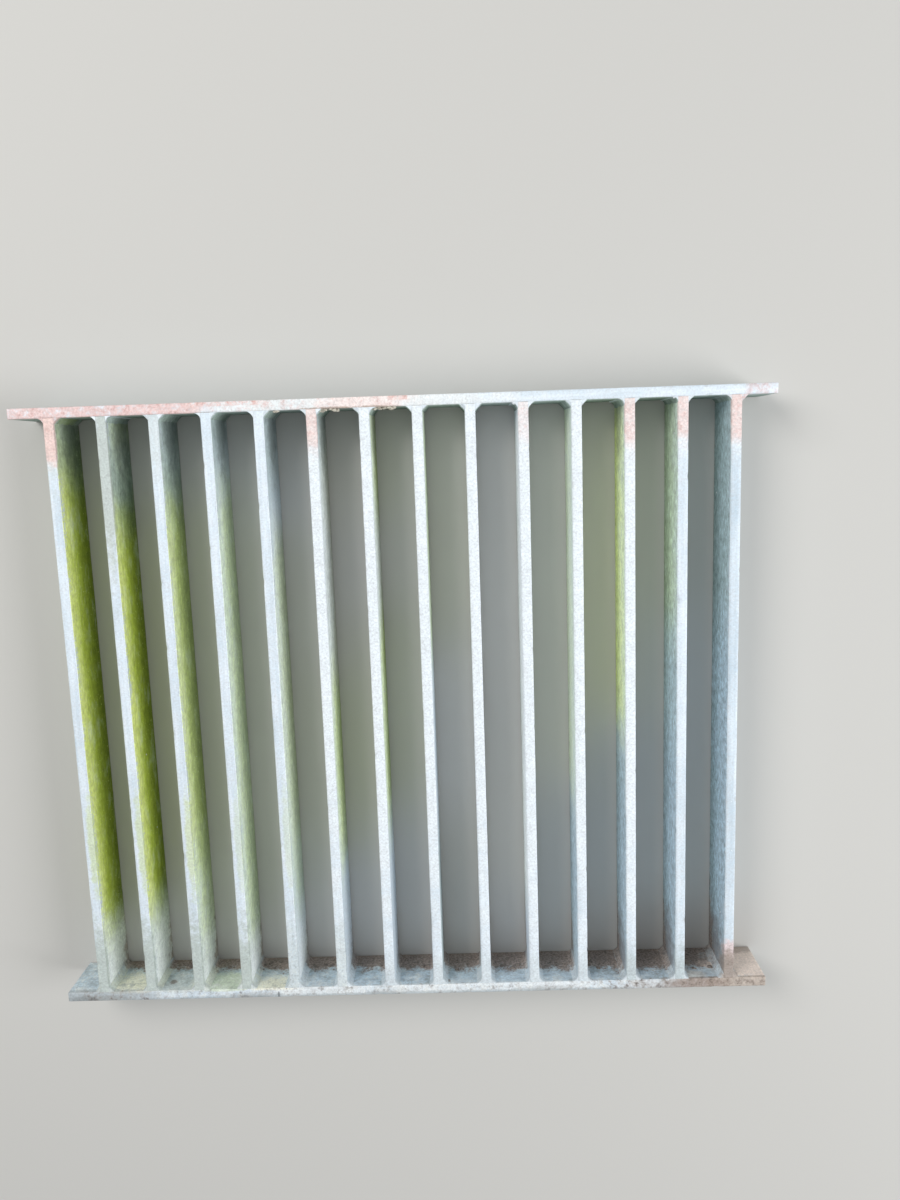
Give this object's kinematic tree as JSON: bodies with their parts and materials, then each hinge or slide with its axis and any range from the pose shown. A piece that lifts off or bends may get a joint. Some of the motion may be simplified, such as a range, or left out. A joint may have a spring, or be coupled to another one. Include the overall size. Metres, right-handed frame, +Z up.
{
  "type": "cattle grid panel",
  "caption": "Weathered galvanised cattle grid panel: flat bars on edge, welded between two end plates, with open bays between the bars.",
  "frame": {"origin": "on the ground, under the middle of the panel as it lies over its pit", "axes": "+X along the end plates, +Y along the bars, +Z up out of the walking surface"},
  "size_m": [1.09, 0.915, 0.09],
  "materials": {
    "galvanised_bar": "hot-dip galvanised, dulled, with algae on the sides of some bars",
    "galvanised_plate": "hot-dip galvanised, dulled, with faint pink-red oxide marks and dirt",
    "galvanised_weld": "weld bead under zinc, pale and slightly rough"
  },
  "bodies": {
    "root": {"bar_01": "galvanised_bar", "bar_02": "galvanised_bar", "bar_03": "galvanised_bar", "bar_04": "galvanised_bar", "bar_05": "galvanised_bar", "bar_06": "galvanised_bar", "bar_07": "galvanised_bar", "bar_08": "galvanised_bar", "bar_09": "galvanised_bar", "bar_10": "galvanised_bar", "bar_11": "galvanised_bar", "bar_12": "galvanised_bar", "bar_13": "galvanised_bar", "bar_14": "galvanised_bar", "near_end_plate": "galvanised_plate", "far_end_plate": "galvanised_plate", "near_weld_01": "galvanised_weld", "near_weld_02": "galvanised_weld", "near_weld_03": "galvanised_weld", "near_weld_04": "galvanised_weld", "near_weld_05": "galvanised_weld", "near_weld_06": "galvanised_weld", "near_weld_07": "galvanised_weld", "near_weld_08": "galvanised_weld", "near_weld_09": "galvanised_weld", "near_weld_10": "galvanised_weld", "near_weld_11": "galvanised_weld", "near_weld_12": "galvanised_weld", "near_weld_13": "galvanised_weld", "near_weld_14": "galvanised_weld", "far_weld_01": "galvanised_weld", "far_weld_02": "galvanised_weld", "far_weld_03": "galvanised_weld", "far_weld_04": "galvanised_weld", "far_weld_05": "galvanised_weld", "far_weld_06": "galvanised_weld", "far_weld_07": "galvanised_weld", "far_weld_08": "galvanised_weld", "far_weld_09": "galvanised_weld", "far_weld_10": "galvanised_weld", "far_weld_11": "galvanised_weld", "far_weld_12": "galvanised_weld", "far_weld_13": "galvanised_weld", "far_weld_14": "galvanised_weld"}
  },
  "joints": []
}
